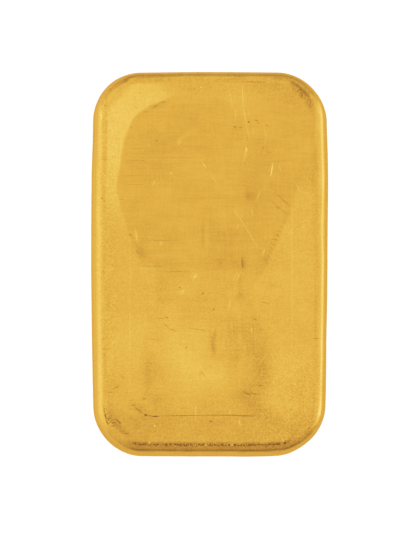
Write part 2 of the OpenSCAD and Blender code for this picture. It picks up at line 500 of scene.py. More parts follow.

# Scratches, painted into the colour only: from across and along, to across and along, width, and the change
# of tone, a painted highlight where it rises and painted shade where it falls.
SCRATCHES = (
    (7.5, 12.1, 7.15, 10.1, 0.11, 1.1), (8.0, 12.0, 8.6, 10.6, 0.07, 0.4),
    (6.8, 10.7, 7.1, 11.3, 0.07, 0.4), (3.8, 21.5, 4.0, 18.2, 0.1, 0.5),
    (3.95, 18.8, 4.4, 15.9, 0.1, 0.45), (4.3, 16.4, 4.7, 14.7, 0.09, 0.4),
    (4.4, 14.0, 4.05, 12.0, 0.1, 0.5), (4.3, 13.8, 4.4, 13.2, 0.14, 0.6),
    (2.4, 20.4, 2.75, 18.0, 0.09, 0.35), (3.05, 18.3, 3.1, 16.8, 0.09, 0.3),
    (4.5, 18.5, 4.7, 17.2, 0.09, 0.3), (6.4, 16.0, 6.8, 14.9, 0.08, 0.35),
    (6.75, 15.3, 6.4, 13.8, 0.07, 0.4), (6.45, 14.0, 6.4, 12.4, 0.07, 0.3),
    (5.1, 16.2, 5.2, 15.1, 0.1, 0.3), (-1.0, 12.2, -0.25, 11.1, 0.11, 0.45),
    (0.0, 10.9, 1.15, 9.0, 0.08, 0.4), (6.1, 8.9, 5.4, 7.3, 0.09, 0.45), (2.4, 7.0, 4.2, 4.5, 0.08, 0.4),
    (3.6, 5.4, 5.9, 1.6, 0.07, 0.45), (4.9, 6.7, 5.1, 5.7, 0.1, 0.4), (3.45, 5.1, 3.2, 4.0, 0.1, 0.35),
    (4.0, 6.0, 3.5, 5.2, 0.07, 0.3), (6.55, 2.0, 6.2, 1.0, 0.12, 0.45), (9.9, 9.9, 10.9, 8.3, 0.07, 0.3),
    (9.75, 13.5, 9.65, -11.5, 0.14, 0.13), (-9.3, 3.0, -9.3, -15.5, 0.11, 0.14),
    (-5.6, 2.9, -5.8, 2.0, 0.1, 0.5), (-8.7, 4.3, -8.4, 2.3, 0.18, 0.45),
    (-4.4, 11.0, -4.6, 10.4, 0.14, 0.5), (-6.3, 10.0, -6.65, 9.2, 0.13, 0.4),
    (-1.5, -1.0, -1.8, -1.8, 0.18, 0.45), (-3.0, -2.9, -3.3, -3.6, 0.18, 0.4),
    (3.75, -0.7, 3.05, -2.1, 0.1, 0.4), (3.4, -0.7, 2.7, -2.0, 0.08, 0.3),
    (2.5, -4.0, 2.2, -5.5, 0.14, 0.35), (4.95, -7.3, 4.95, -8.2, 0.1, 0.6),
    (4.9, -6.7, 4.95, -7.0, 0.1, 0.4), (2.55, -6.7, 2.7, -7.7, 0.09, 0.35),
    (2.2, -8.3, 2.3, -9.7, 0.12, 0.3), (-1.5, -16.3, -1.7, -18.0, 0.09, 0.5),
    (-1.7, -17.6, -1.6, -18.5, 0.07, 0.4), (2.4, -17.0, 2.4, -17.7, 0.14, 0.5),
    (3.35, -18.1, 3.75, -19.1, 0.13, 0.45), (7.0, -10.1, 5.6, -12.0, 0.08, 0.35),
    (8.3, -20.0, 8.8, -20.9, 0.1, 0.4), (6.95, -20.1, 6.65, -20.9, 0.09, 0.35),
    (-3.7, 13.9, -3.4, 14.6, 0.2, 0.3), (-6.45, -18.9, -6.35, -18.9, 0.13, 1.3),
    (-7.05, -20.85, -6.95, -20.85, 0.13, 1.3), (-1.1, 20.8, -0.85, 20.8, 0.09, 1.0),
    (-7.15, 13.9, -7.0, 13.9, 0.08, 0.9), (10.9, 4.4, 11.1, 4.4, 0.1, 1.0),
    (12.15, 8.15, 12.25, 8.1, 0.08, 0.7), (12.1, 7.5, 12.2, 7.45, 0.08, 0.7),
    (3.0, -20.45, 3.2, -20.45, 0.08, 0.7), (1.35, 21.25, 1.5, 21.25, 0.07, 0.8),
    (-12.75, 18.0, -12.6, 16.6, 0.12, 0.5), (-9.6, 13.55, -7.2, 13.55, 0.06, -0.28),
    (-10.1, 12.15, -7.4, 12.15, 0.06, -0.28), (-8.1, 12.15, -7.6, 12.15, 0.07, -0.3),
    (-12.7, 12.25, -11.6, 12.25, 0.07, -0.4), (-6.8, 12.5, 0.0, 12.5, 0.07, -0.2),
    (-10.6, 10.4, -6.8, 10.4, 0.06, -0.2), (-10.5, 9.7, -7.4, 9.7, 0.06, -0.18),
    (-10.4, 9.35, -6.9, 9.35, 0.06, -0.2), (-10.7, 7.6, -9.9, 7.6, 0.07, -0.35),
    (-4.2, 7.75, 3.2, 7.75, 0.06, -0.2), (-8.4, 2.8, -2.5, 2.8, 0.07, -0.25),
    (-3.0, 2.75, 6.5, 2.7, 0.06, -0.2), (-9.0, -0.25, -4.9, -0.25, 0.07, -0.35),
    (-6.1, -0.85, -1.2, -0.85, 0.07, -0.3), (4.5, 16.75, 4.75, 16.75, 0.12, -1.2),
    (5.2, 17.0, 5.8, 16.85, 0.1, -0.5), (5.55, 16.65, 5.9, 16.6, 0.09, -0.6),
    (2.75, 16.2, 3.2, 16.1, 0.12, -0.6), (3.35, 16.1, 4.0, 16.1, 0.09, -0.5),
    (6.5, 16.45, 7.1, 16.15, 0.08, -0.45), (6.2, 13.7, 6.4, 13.7, 0.14, -0.5),
    (6.8, 13.1, 7.3, 13.1, 0.07, -0.4), (7.4, 8.75, 9.7, 6.6, 0.07, -0.38),
    (8.6, 7.7, 9.65, 6.65, 0.07, -0.2), (7.1, 7.6, 9.4, 5.6, 0.07, -0.38),
    (7.8, 6.75, 8.15, 6.5, 0.08, -0.5), (7.2, 3.0, 8.3, 2.8, 0.08, -0.5),
    (7.0, 2.6, 7.9, 2.05, 0.07, -0.42), (6.8, 1.7, 7.5, 1.1, 0.07, -0.35),
    (8.1, 3.8, 7.9, 3.1, 0.09, -0.3), (8.1, 4.6, 8.8, 4.2, 0.07, -0.35), (7.9, 4.0, 8.6, 3.6, 0.07, -0.3),
    (7.6, 3.6, 8.4, 3.2, 0.07, -0.3), (6.9, 2.2, 7.6, 1.6, 0.07, -0.3), (6.7, 1.2, 7.2, 0.6, 0.07, -0.3),
    (6.4, 0.6, 6.9, 0.0, 0.07, -0.3), (8.3, 5.2, 9.1, 4.8, 0.06, -0.25),
    (3.75, 1.2, 3.95, -0.7, 0.13, -0.42), (-9.5, 3.55, -9.05, 3.25, 0.14, -0.4),
    (-8.7, 1.8, -8.1, 1.0, 0.16, -0.25), (-8.2, 1.1, -8.0, 0.5, 0.2, -0.15),
    (-3.55, -2.8, -3.4, -2.7, 0.16, -0.6), (-0.9, -3.6, -0.65, -3.25, 0.13, -0.6),
    (0.4, -5.3, 0.6, -5.3, 0.18, -0.5), (0.8, -7.3, 0.45, -9.3, 0.24, -0.28),
    (0.4, -8.8, 0.55, -10.8, 0.28, -0.28), (-5.3, -6.1, -4.7, -6.35, 0.1, -0.7),
    (-6.4, -6.35, -4.8, -6.35, 0.07, -0.4), (-5.4, -6.9, -4.6, -7.6, 0.12, -0.4),
    (-4.9, -7.5, -3.7, -7.9, 0.11, -0.45), (-2.9, -7.4, 0.4, -7.9, 0.09, -0.45),
    (-7.7, -8.65, -4.9, -9.05, 0.07, -0.35), (-2.8, -9.75, -2.6, -9.75, 0.11, -0.8),
    (-1.1, -12.4, -0.5, -13.2, 0.12, -0.6), (-1.1, -12.4, -1.1, -13.4, 0.08, -0.5),
    (-7.65, -17.6, -7.2, -17.7, 0.15, -1.2), (-7.3, -17.65, -6.5, -17.8, 0.09, -0.7),
    (-6.8, -17.8, -5.8, -17.8, 0.1, -1.2), (-6.4, -17.75, 1.2, -17.65, 0.07, -0.7),
    (-0.6, -17.62, 6.0, -17.75, 0.07, -0.7), (2.6, -17.75, 5.9, -17.75, 0.07, -0.4),
    (-9.3, -16.5, -8.5, -16.5, 0.08, -0.6), (-8.9, -16.6, -7.7, -17.5, 0.08, -0.6),
    (-7.9, -15.75, -7.3, -15.75, 0.09, -0.7), (3.8, -14.85, 5.1, -15.4, 0.1, -0.5),
    (4.6, -14.95, 5.9, -15.35, 0.1, -0.45), (5.5, -14.2, 6.6, -14.2, 0.09, -0.4),
    (-11.1, -18.0, -10.2, -18.7, 0.11, -0.8), (-11.6, -18.9, -10.9, -18.9, 0.1, -0.8),
    (-10.0, -19.8, -9.3, -19.8, 0.08, -0.7), (-12.3, -15.0, -10.9, -15.0, 0.07, -0.45),
    (-11.4, -14.6, -10.2, -14.2, 0.09, -0.5), (-10.5, -12.9, -9.7, -13.6, 0.08, -0.5),
    (0.0, -18.2, 0.3, -18.5, 0.14, -0.7), (11.9, -8.7, 13.1, -8.7, 0.07, -0.6),
    (11.0, -9.0, 11.8, -8.7, 0.07, -0.5), (5.8, -4.35, 7.3, -4.7, 0.08, -0.35),
    (5.2, -6.3, 5.5, -6.6, 0.14, -0.45), (6.0, -7.2, 6.0, -8.0, 0.1, -0.35),
    (-8.75, 18.6, -8.35, 18.25, 0.09, -0.6), (-8.25, 20.4, -8.05, 19.7, 0.08, -0.5),
    (-6.1, 18.95, -4.9, 19.15, 0.17, -0.35), (-6.8, 18.2, -5.8, 19.0, 0.17, -0.3),
    (-7.9, 17.85, -7.0, 17.9, 0.07, -0.4), (-9.35, 16.1, -9.0, 16.0, 0.11, -0.5),
    (-6.4, 14.6, -6.0, 14.45, 0.09, -0.6), (-1.9, 20.6, -1.7, 20.6, 0.13, -0.4),
    (3.8, 21.5, 6.8, 21.4, 0.08, -0.5), (-12.65, 7.7, -12.5, 7.7, 0.13, -1.0),
)


def patch_mask(u, v, edge):
    """The worn patch, in millimetres: a dome above, a neck and a bell below, as far from 0 to 1 as a
    point is inside both of its sides, over the width of edge. Its head and foot fade out."""
    left = smooth(u - through(v, *PATCH_LEFT), -edge, edge)
    right = smooth(through(v, *PATCH_RIGHT) - u, -edge, edge)
    return left * right * smooth(v, -18.5, -16.0) * smooth(19.8 - v, -0.6, 1.2)


def blots(u, v, places):
    """Sum of soft ellipses: each is its strength times exp of minus the squared distance from its
    middle, counted in half widths along one axis and half lengths along the other."""
    total = np.zeros(len(u))
    for across, along, wide, long, turn, strength in places:
        cos, sin = math.cos(math.radians(turn)), math.sin(math.radians(turn))
        s = ((u - across) * cos + (v - along) * sin) / wide
        t = ((v - along) * cos - (u - across) * sin) / long
        total += strength * np.exp(-(s * s + t * t))
    return total


def dents(points, centres, radii, depths):
    """Sum of round dents, each a bell of its own radius and depth round its centre in plan."""
    total = np.zeros(len(points))
    for centre, radius, depth in zip(centres, radii, depths):
        near = np.abs(points - centre).max(axis=1) < 3 * radius
        away = ((points[near] - centre) ** 2).sum(axis=1)
        total[near] += depth * np.exp(-away / radius**2)
    return total


def rim_tone_and_light(bearing, inset):
    """Tone across the rim, with its painted highlights and shade: each bearing's plain tone with its bands,
    which are bells, blended between the nearest two bearings by the smooth step."""
    total = np.zeros(len(inset))
    for number, (plain, *bands) in enumerate(RIM_LIGHT_BANDS):
        away = np.abs((bearing / 45 - number + 4) % 8 - 4)
        tone = plain + sum(change * bell(inset, middle, width) for middle, width, change in bands)
        total += tone * smooth(1 - away, 0.1, 0.9)
    return total


# Places in from the outline, in millimetres: the middle and the half width of the groove, of the band
# of dirt over the foot's pits, of the painted shade line at both ends and of the painted shade in the crease
# along the left.
GROOVE = (1.33, 0.13)
FOOT_BAND = (1.38, 0.21)
END_SHADE_LINE = (0.80, 0.08)
LEFT_CREASE_SHADE = (1.30, 0.09)

# Where the upper face begins to sink and has sunk, where the lower face has drawn in, and where the
# rim's tone gives way to the face's.
DISH = (1.3, 3.5)
DRAWN_IN = (1.5, 11.0)
RIM_TO_FACE = (1.6, 1.9)

# Pits: how many there are on the face, inside the right edge and at the foot, and how far in the row at
# the right begins and the band at the foot lies. The seed is for their places, radii and depths.
FACE_PITS, SIDE_PITS, FOOT_PITS = 60, 26, 150
SIDE_PITS_IN = 1.3
FOOT_PITS_IN = 1.40
PIT_SEED = 11664


class Wear:
    """The relief at each point, in millimetres, and one method for each attribute that the gold reads.
    Tone runs from 0 to 1 and somewhat past both, grain is usually 1.5, and the others are shares."""

    def __init__(self, mesh, shape):
        self.p = bend_plan(mesh.points(), shape) / MM
        self.x, self.y, self.z = self.p.T
        self.u = (self.x - FACE_MIDDLE[0]) / FACE_SHARE
        self.v = (self.y - FACE_MIDDLE[1]) / FACE_SHARE
        self.bearing = mesh.bearing(shape)
        self.lean = np.degrees(mesh.lean)
        self.inset = mesh.inset(shape) / MM
        self.top = smooth(self.lean, 60, 90)
        self.under = smooth(-self.lean, 60, 90)
        self.wall = 1 - np.maximum(self.top, self.under)
        self.above = smooth(self.lean, -10, 5)
        self.shape = shape
        self.rng = np.random.default_rng(PIT_SEED)

    def relief(self):
        """How far each point moves out along its normal."""
        shape, p = self.shape, self.p
        groove = bell(self.inset, *GROOVE) * (0.7 + 0.5 * noise(p, 3.0, 3)) * self.above
        sink = smooth(self.inset, *DISH) * shape.dish / MM
        patch = patch_mask(self.u + 0.2 * noise(p, 1.5, 5), self.v + 0.2 * noise(p, 1.5, 6), 0.3)
        swell = 0.010 * noise(p, 7.0, 7) + 0.005 * noise(p, 2.6, 8)
        top = swell - sink - 0.012 * patch - self.pits() + self.wrinkles()
        draw = shape.shrinkage / MM * smooth(self.inset, *DRAWN_IN)
        rings = 0.012 * np.sin(self.inset * 2.1 + 1.5 * noise(p, 5.0, 9)) * smooth(self.inset, 1.5, 4)
        under = -draw - (rings + 0.022 + 0.010 * rough_noise(p, 1.6, 12)) * smooth(self.inset, 1.0, 2.5)
        skin = 0.016 * rough_noise(p, np.array([3.0, 3.0, 0.9]), 15) + 0.006 * noise(p, 0.4, 19)
        flow = 0.012 * np.sin(self.z * 7.0 + 2.5 * noise(p, 4.0, 20)) * smooth(self.z, 0.5, 1.2)
        flow *= smooth(5.0 - self.z, 0.4, 1.4)
        rim = self.wall * (skin + flow) - groove * shape.groove / MM
        return self.top * top + self.under * under + rim

    def pits(self):
        """Small pits: a scatter over the face, a row inside the right edge and a band at the foot."""
        rng = self.rng
        wide, long = HALF_WIDE / MM, HALF_LONG / MM
        scatter = rng.uniform(-1, 1, (FACE_PITS, 2)) * (wide - 1.6, long - 1.6)
        right = np.column_stack([wide - SIDE_PITS_IN - rng.uniform(0, 0.7, SIDE_PITS),
                                 rng.uniform(-17, 15, SIDE_PITS)])
        foot = np.column_stack([rng.uniform(-9, 9.5, FOOT_PITS),
                                FOOT_PITS_IN - long + rng.uniform(-0.22, 0.22, FOOT_PITS)])
        places = np.concatenate([scatter, right, foot])
        small = FACE_PITS + SIDE_PITS
        radii = np.concatenate([rng.uniform(0.1, 0.2, small), rng.uniform(0.1, 0.22, FOOT_PITS)])
        depths = np.concatenate([rng.uniform(0.01, 0.035, small), rng.uniform(0.02, 0.06, FOOT_PITS)])
        return dents(self.p[:, :2], places, radii, depths)

    def wrinkles(self):
        """Fine folds in the lower corners, where the metal chilled first."""
        left = smooth(-self.x, 9.5, 12.0) * smooth(-self.y, 13.5, 16.0) * smooth(self.y + 20.5, 0, 1.5)
        right = smooth(self.x, 4.5, 8.0) * smooth(-self.y, 12.5, 16.0)
        folds = 1 - 2 * np.abs(rough_noise(self.p, 0.55, 25))
        return 0.02 * folds * np.maximum(left, 0.7 * right)

    def face_tone(self):
        """Tone of the upper face: its plain part, the worn patch with painted shade along its right edge, and
        the smudges.
        """
        p = self.p
        u = self.u + 0.15 * noise(p, 1.4, 31) + 0.2 * noise(p, 4.0, 35)
        v = self.v + 0.15 * noise(p, 1.4, 32) + 0.2 * noise(p, 4.0, 36)
        patch = patch_mask(u, v, 0.18 + 0.6 * smooth(-v, 3.0, 8.0))
        plain = 0.64 + 0.34 * smooth(v, 1.5, 14.0) * smooth(-u, 2.5, 7.5)
        plain -= 0.12 * smooth(u, 2.0, 6.0) * smooth(v, 8.5, 10.5)
        worn = 0.5 + 0.06 * smooth(-v, 0.0, 4.0)
        tone = plain * (1 - patch) + worn * patch
        # Painted shade along the worn patch's right edge, where its rim slopes.
        edge_shade = patch * (1 - patch_mask(u - 0.9, v, 0.8)) * smooth(u, 2.0, 5.0)
        tone -= 0.14 * edge_shade * smooth(v, -1.5, 0.5) * smooth(6.0 - v, 0.0, 3.0)
        tone -= 0.20 * smooth(-v, 16.0, 18.5)
        strokes = noise(p, (0.42, 2.6, 5.0), 42) + 0.6 * noise(p, (0.3, 1.1, 5.0), 43)
        across = noise(p, (3.0, 0.35, 5.0), 44)
        tone += 0.11 * strokes * np.minimum(blots(u, v, STROKES), 1) + 0.035 * across * patch
        return tone + blots(u, v, SMUDGES) + 0.04 * noise(p, 2.6, 33) + 0.035 * noise(p, 1.1, 34)

    def tone(self):
        """Brightness of the metal's colour: 0 dull, 0.5 usual and 1 worn bright, with the rim's painted
        highlights and shade in it. The rim's tone gives way to the face's just inside the shoulder."""
        sides = smooth(np.abs(np.cos(np.radians(self.bearing))), 0.8, 1.0)
        streaks = noise(self.p, (1.2, 1.2, 0.3), 37) * (0.02 + 0.05 * self.at_ends())
        streaks += noise(self.p, (0.22, 2.4, 5.0), 40) * 0.10 * sides * smooth(self.inset, 0.4, 0.7)
        wander = 0.09 * noise(self.p, (9.0, 3.5, 9.0), 45) * sides
        # The rim's tone holds its painted highlights and shade.
        rim = rim_tone_and_light(self.bearing, self.inset + wander) + streaks
        rim = rim * self.above + 0.42 * (1 - self.above)
        inside = smooth(self.inset, *RIM_TO_FACE)
        upper = rim * (1 - inside) + self.face_tone() * inside
        upper += self.above * blots(self.u, self.v, STAINS) * (0.8 + 0.6 * noise(self.p, 0.7, 39))
        lower = 0.42 + 0.06 * rough_noise(self.p, 2.5, 38)
        return np.where(self.lean > -60, upper, lower)

    def at_ends(self):
        """How squarely the rim faces the bar's head or foot, from 0 to 1."""
        return np.abs(np.sin(np.radians(self.bearing))) ** 3 * smooth(2.1 - self.inset, 0.0, 0.3)

    def dirt_and_shade(self):
        """The dirt in the pits along the foot and in the gritty places of the face, and the painted shade of
        a dark line along the foot, under the shoulder at the head, and in the crease along the left."""
        p, ends = self.p, self.at_ends()
        ragged = 0.5 + 0.5 * rough_noise(p, 0.9, 41)
        foot = smooth(-self.y, 15.0, 20.0)
        band = bell(self.inset, *FOOT_BAND) * foot * ends * smooth(9.8 - np.abs(self.x), 0.0, 1.0)
        # Painted shade: a dark line at the head and the foot, and one in the left crease.
        line = bell(self.inset, *END_SHADE_LINE) * ends * (0.20 + 0.40 * ragged)
        crease = bell(self.inset, *LEFT_CREASE_SHADE) * smooth(-np.cos(np.radians(self.bearing)), 0.6, 0.9)
        face = blots(self.u, self.v, GRIT) * smooth(self.inset, 0.9, 1.2)
        return self.above * (0.72 * band + line + 0.34 * crease * ragged + face)

    def glints(self):
        """Bright grains of the face, and along the right, the left and the foot."""
        return self.above * blots(self.u, self.v, GLINTS)

    def grain(self):
        """Coarseness of the metal's grain: fine in the worn patch, coarse along the left and below."""
        patch = patch_mask(self.u, self.v, 0.5) * smooth(self.v, -4.0, 2.0)
        left = smooth(-self.u, 10.3, 11.5) * smooth(self.v, -18.0, -12.0)
        below = smooth(-self.v, 9.0, 13.0) * smooth(self.u, 3.0, 8.0)
        return 1.5 - 0.72 * patch + 0.85 * left + 0.85 * below

    def cast(self):
        """How much of the walls' cast skin is left: all of it below the shoulder, none on the faces."""
        return smooth(-np.abs(self.lean), -50.0, -15.0)

    def pale(self):
        """How pale the shoulder is where it turns into the wall, from 0 to 1: worn all round, with a painted
        highlight that adds most at the left.
        """
        left = smooth(-np.cos(np.radians(self.bearing)), 0.3, 0.9)
        return smooth(self.lean, 7.6, 15.0) * smooth(-self.lean, -50.0, -18.0) * (0.45 + 0.55 * left)


# ---------------------------------------------------------------- pieces


def fresh_object(name, data):
    """Puts a new object with this mesh or camera in the scene."""
    thing = bpy.data.objects.new(name, data)
    bpy.context.scene.collection.objects.link(thing)
    return thing


def lay_out_flat(mesh, bar, loop_points, upper_loops):
    """Gives the mesh its flat layout. The upper sheet stands at the left of the unit square and the
    lower face, at the scale that still fits, at its right."""
    margin = 0.004
    sheet = bar.sheet
    rim = sheet[: bar.rim_points]
    low, high = rim.min(axis=0), rim.max(axis=0)
    scale = (1 - 2 * margin) / (high[1] - low[1])
    upper = (sheet - low) * scale + margin
    left = (high[0] - low[0]) * scale + 2 * margin
    plan = bar.plan
    under_low, under_high = plan.min(axis=0), plan.max(axis=0)
    under_scale = (1 - margin - left) / (under_high[0] - under_low[0])
    under = (plan - under_low) * under_scale + (left, margin)
    layer = mesh.uv_layers.new(name="OFBake")
    corners = np.where(upper_loops[:, None], upper[loop_points], under[loop_points])
    layer.data.foreach_set("uv", corners.astype(np.float32).ravel())


def make_bar(shape, finish):
    """The bar: its plain surface, moved along its normals by its wear, then bowed in plan."""
    bar = BarMesh(shape)
    wear = Wear(bar, shape)
    moved = bar.points() + bar.normals() * wear.relief()[:, None] * MM
    points = bend_plan(moved, shape)
    points[:, 2] = np.maximum(points[:, 2], 0.0)
    points += ((FACE_LOW[0] + FACE_HIGH[0]) / 2, (FACE_LOW[1] + FACE_HIGH[1]) / 2, FACE_LOW[2])

    mesh = bpy.data.meshes.new("gold_bar")
    faces = [*bar.upper_faces.tolist(), *bar.lower_faces.tolist(), *bar.joining_faces.tolist()]
    mesh.from_pydata(points, [], faces)
    loop_points = np.concatenate([bar.upper_faces.ravel(), bar.lower_faces.ravel(),
                                  bar.joining_faces.ravel()])
    upper_loops = np.arange(len(loop_points)) < bar.upper_faces.size
    lay_out_flat(mesh, bar, loop_points, upper_loops)
    for name in ATTRIBUTES:
        values = getattr(wear, name)()
        layer = mesh.attributes.new(name, "FLOAT", "POINT")
        layer.data.foreach_set("value", values.astype(np.float32))
    mesh.shade_smooth()
    mesh.materials.append(gold_material(finish))
    thing = fresh_object("gold_bar", mesh)
    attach(thing, BODY)
    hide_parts(NODE)
    return thing


# ---------------------------------------------------------------- materials

# Height that the scratches stay above, in millimetres on the sheet.
TOP_BAND = 4.5

# What each effect adds to the tone at its strongest.
GRAIN_TONE = 0.55
SCRATCH_LIGHT_AND_SHADE = 0.9
GLINT_TONE = 0.6
DIRT_AND_SHADE_TONE = -0.75

# Roughness that the dirt and painted shade add, and how far packed dirt and the darkest painted shade hide
# the metal.
DIRT_ROUGH = 0.3
DIRT_AND_SHADE_COVER = 0.5

# Relief of the metal's grain, as a share and in metres.
GRAIN_BUMP = 0.3
GRAIN_HEIGHT = 0.00001

# What the wear gives each point, with the painted highlights and shade among it, by the names that the gold's
# nodes read it under.
ATTRIBUTES = ("tone", "dirt_and_shade", "glints", "grain", "pale", "cast")


def add(tree, kind, inputs=None, **settings):
    """A node of this kind with its settings, and each named input either linked or set."""
    node = tree.nodes.new("ShaderNode" + kind)
    for name, value in settings.items():
        setattr(node, name, value)
    for name, value in (inputs or {}).items():
        feed(tree, node, name, value)
    return node


def feed(tree, node, name, value):
    """Links a socket to the node's input, or sets the input to a plain value."""
    if isinstance(value, bpy.types.NodeSocket):
        tree.links.new(value, node.inputs[name])
    else:
        node.inputs[name].default_value = value


def maths(tree, operation, first, second=0.0, clamp=False):
    """The result of a Math node on two numbers or sockets."""
    node = add(tree, "Math", {0: first, 1: second}, operation=operation, use_clamp=clamp)
    return node.outputs[0]


def plus(tree, base, effect, change):
    """The base with this much of the effect added: base + effect * change."""
    return maths(tree, "ADD", base, maths(tree, "MULTIPLY", effect, change))


def new_group(name, inputs, outputs):
    """An empty node group with float and vector sockets, its group input and its group output."""
    tree = bpy.data.node_groups.new(name, "ShaderNodeTree")
    for label, kind in inputs:
        tree.interface.new_socket(label, in_out="INPUT", socket_type="NodeSocket" + kind)
    for label, kind in outputs:
        tree.interface.new_socket(label, in_out="OUTPUT", socket_type="NodeSocket" + kind)
    return tree, tree.nodes.new("NodeGroupInput"), tree.nodes.new("NodeGroupOutput")


def place_group(tree, group, inputs):
    """A node that holds the group, with its inputs. They are there once it knows its group."""
    node = add(tree, "Group", node_tree=group)
    for name, value in inputs.items():
        feed(tree, node, name, value)
    return node


def grain_group():
    """Fine grain of the metal, about 0: even noise, and noise drawn out along each axis into streaks."""
    tree, given, result = new_group("Fine grain", [("Vector", "Vector"), ("Coarseness", "Float")],
                                    [("Grain", "Float")])
    place = given.outputs["Vector"]
    even = add(tree, "TexNoise", {"Vector": place, "Scale": 5.5, "Detail": 2.0, "Roughness": 0.6})
    total = maths(tree, "SUBTRACT", even.outputs["Fac"], 0.5)
    total = maths(tree, "MULTIPLY", total, given.outputs["Coarseness"])
    for stretch, share in (((0.5, 4.5, 1.0), 0.35), ((3.5, 0.4, 1.0), 0.3)):
        drawn = add(tree, "Mapping", {"Vector": place, "Scale": stretch})
        streak = add(tree, "TexNoise", {"Vector": drawn.outputs["Vector"], "Scale": 1.0, "Detail": 1.0})
        total = plus(tree, total, maths(tree, "SUBTRACT", streak.outputs["Fac"], 0.5), share)
    tree.links.new(total, result.inputs["Grain"])
    return tree


# The level that noise must pass to be a grain where there is neither dirt nor painted shade, how far it
# falls where there is the most, and how sharp a grain's edge is.
GRIT_LEVEL = 0.80
GRIT_FALL = 0.55
GRIT_EDGE = 9.0


def grit_group():
    """Grains of dirt and painted shade, and bright grains: where fine noise is above one level or below
    another. The more dirt and shade, or glints, there are, the nearer these levels are to the noise's middle."""
    tree, given, result = new_group("Grit", [("Vector", "Vector"), ("DirtAndShade", "Float"), ("Glints", "Float")],
                                    [("Dark", "Float"), ("Bright", "Float")])
    fine = add(tree, "TexNoise", {"Vector": given.outputs["Vector"], "Scale": 5.0, "Detail": 3.0,
                                  "Roughness": 0.7})
    grain = fine.outputs["Fac"]
    for name, away, label in (("DirtAndShade", grain, "Dark"),
                              ("Glints", maths(tree, "SUBTRACT", 1.0, grain), "Bright")):
        level = maths(tree, "SUBTRACT", GRIT_LEVEL, maths(tree, "MULTIPLY", given.outputs[name], GRIT_FALL))
        over = maths(tree, "MULTIPLY", maths(tree, "SUBTRACT", away, level), GRIT_EDGE, clamp=True)
        tree.links.new(over, result.inputs[label])
    return tree


def scratch_group():
    """One scratch, a long thin ellipse: 1 less the squared distance from its middle, counted in half
    lengths along it and in half widths across it, times its strength, which paints a highlight where it
    is above 0 and shade where it is below."""
    tree, given, result = new_group(
        "Scratch",
        [("Vector", "Vector"), ("Middle", "Vector"), ("Along", "Vector"), ("Across", "Vector"),
         ("Strength", "Float")],
        [("Mark", "Float")])
    away = add(tree, "VectorMath", {0: given.outputs["Vector"], 1: given.outputs["Middle"]},
               operation="SUBTRACT").outputs["Vector"]
    along, across = (add(tree, "VectorMath", {0: away, 1: given.outputs[axis]},
                         operation="DOT_PRODUCT").outputs["Value"] for axis in ("Along", "Across"))
    square = maths(tree, "ADD", maths(tree, "MULTIPLY", along, along),
                   maths(tree, "MULTIPLY", across, across))
    mark = maths(tree, "SUBTRACT", 1.0, square, clamp=True)
    tree.links.new(maths(tree, "MULTIPLY", mark, given.outputs["Strength"]), result.inputs["Mark"])
    return tree


def scratched(tree, place):
    """The sum of the painted highlights and shade of all the scratches on the upper face."""
    group = scratch_group()
    total = 0.0
    for x0, y0, x1, y1, width, change in SCRATCHES:
        middle = ((x0 + x1) / 2, (y0 + y1) / 2, 0.0)
        half = max(math.hypot(x1 - x0, y1 - y0) / 2, width)
        turn = math.atan2(y1 - y0, x1 - x0)
        cos, sin = math.cos(turn), math.sin(turn)
        scratch = place_group(tree, group, {
            "Vector": place, "Middle": middle, "Along": (cos / half, sin / half, 0.0),
            "Across": (-sin / width, cos / width, 0.0), "Strength": change})
        total = maths(tree, "ADD", total, scratch.outputs["Mark"])
    return total


def new_material(name):
    """A material with an empty node tree."""
    material = bpy.data.materials.new(name)
    material.use_nodes = True
    material.node_tree.nodes.clear()
    return material, material.node_tree


def principled(tree, inputs):
    """The material's own shader, and its output."""
    shader = add(tree, "BsdfPrincipled", inputs)
    add(tree, "OutputMaterial", {"Surface": shader.outputs["BSDF"]})


